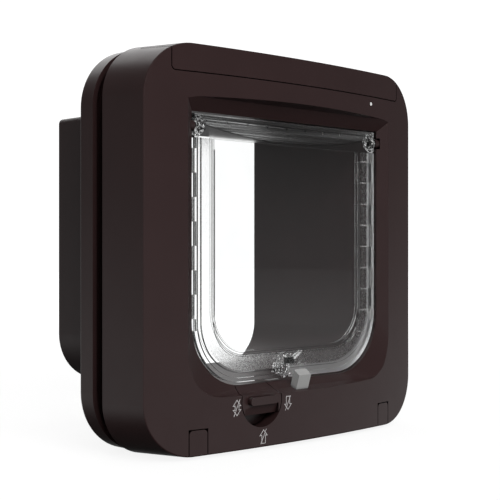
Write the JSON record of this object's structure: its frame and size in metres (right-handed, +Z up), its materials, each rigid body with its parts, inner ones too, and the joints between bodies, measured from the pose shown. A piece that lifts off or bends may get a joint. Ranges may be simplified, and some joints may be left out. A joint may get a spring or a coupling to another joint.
{
  "type": "cat flap",
  "caption": "Battery-locked cat flap for a door: bowed brown indoor frame, clear hinged flap, tunnel and outdoor frame, with a lock dial under the opening.",
  "frame": {"origin": "middle of the whole part's footprint, at the base of the two frames", "axes": "+Y out through the door, +Z up, +X to the right as seen from indoors"},
  "size_m": [0.21, 0.1188, 0.21],
  "materials": {
    "brown_plastic": "fine satin texture, dark brown",
    "dark_plastic": "plain moulded",
    "grey_plastic": "smooth, light grey",
    "clear_plastic": "clear, with frosted edges",
    "cell_sleeve": "printed sleeve",
    "plated_steel": "nickel plated",
    "steel": "zinc plated",
    "board": "green solder mask",
    "coil": "lacquered copper wire bound with tape",
    "coil_case": "black steel case",
    "magnet": "nickel plated"
  },
  "bodies": {
    "frames": {"front_bezel": "brown_plastic", "rear_housing": "brown_plastic", "exterior_frame": "brown_plastic", "battery_tray": "dark_plastic", "latch_guide": "dark_plastic", "battery_cell_1": "cell_sleeve", "battery_cell_2": "cell_sleeve", "battery_cell_3": "cell_sleeve", "battery_cell_4": "cell_sleeve", "contact_plate_left": "plated_steel", "contact_plate_right": "plated_steel", "circuit_board": "board", "antenna_coil": "coil", "light_pipe": "clear_plastic", "latch_solenoid": "coil_case", "detent_spring": "steel", "fixing_screws": "steel", "housing_screws": "steel"},
    "flap": {"flap_pane": "clear_plastic", "hinge_pin_left": "steel", "hinge_pin_right": "steel", "flap_magnet": "magnet"},
    "indoor_latch": {"inner_latch": "grey_plastic", "latch_plunger": "steel"},
    "outdoor_latch": {"outer_latch": "grey_plastic"},
    "dial": {"lock_dial": "brown_plastic", "dial_wheel": "grey_plastic"},
    "cover": {"battery_cover": "brown_plastic"},
    "button": {"learn_button": "grey_plastic"},
    "cap_left": {"screw_cover_left": "brown_plastic"},
    "cap_right": {"screw_cover_right": "brown_plastic"}
  },
  "joints": [
    {"name": "flap_swing", "type": "hinge", "parent": "frames", "child": "flap", "pos_m": [0, -0.0462, 0.1678], "axis": [1, 0, 0], "range_deg": [0, 80]},
    {"name": "indoor_latch_slide", "type": "slide", "parent": "frames", "child": "indoor_latch", "axis": [0, 0.2924, -0.9563], "range_m": [0, 0.008], "stiffness_N_per_m": 40, "springref_m": -0.004},
    {"name": "outdoor_latch_slide", "type": "slide", "parent": "frames", "child": "outdoor_latch", "axis": [0, 0, 1], "range_m": [0, 0.008]},
    {"name": "dial_turn", "type": "hinge", "parent": "frames", "child": "dial", "pos_m": [-0.0316, -0.0462, 0.0267], "axis": [0, 1, 0], "range_deg": [-90, 180]},
    {"name": "battery_cover_lift", "type": "slide", "parent": "frames", "child": "cover", "axis": [0, -1, 0], "range_m": [0, 0.035]},
    {"name": "button_press", "type": "slide", "parent": "frames", "child": "button", "axis": [0, 1, 0], "range_m": [0, 0.001], "stiffness_N_per_m": 300, "springref_m": -0.001},
    {"name": "screw_cover_left_lift", "type": "slide", "parent": "frames", "child": "cap_left", "axis": [0, -1, 0], "range_m": [0, 0.015]},
    {"name": "screw_cover_right_lift", "type": "slide", "parent": "frames", "child": "cap_right", "axis": [0, -1, 0], "range_m": [0, 0.015]}
  ]
}
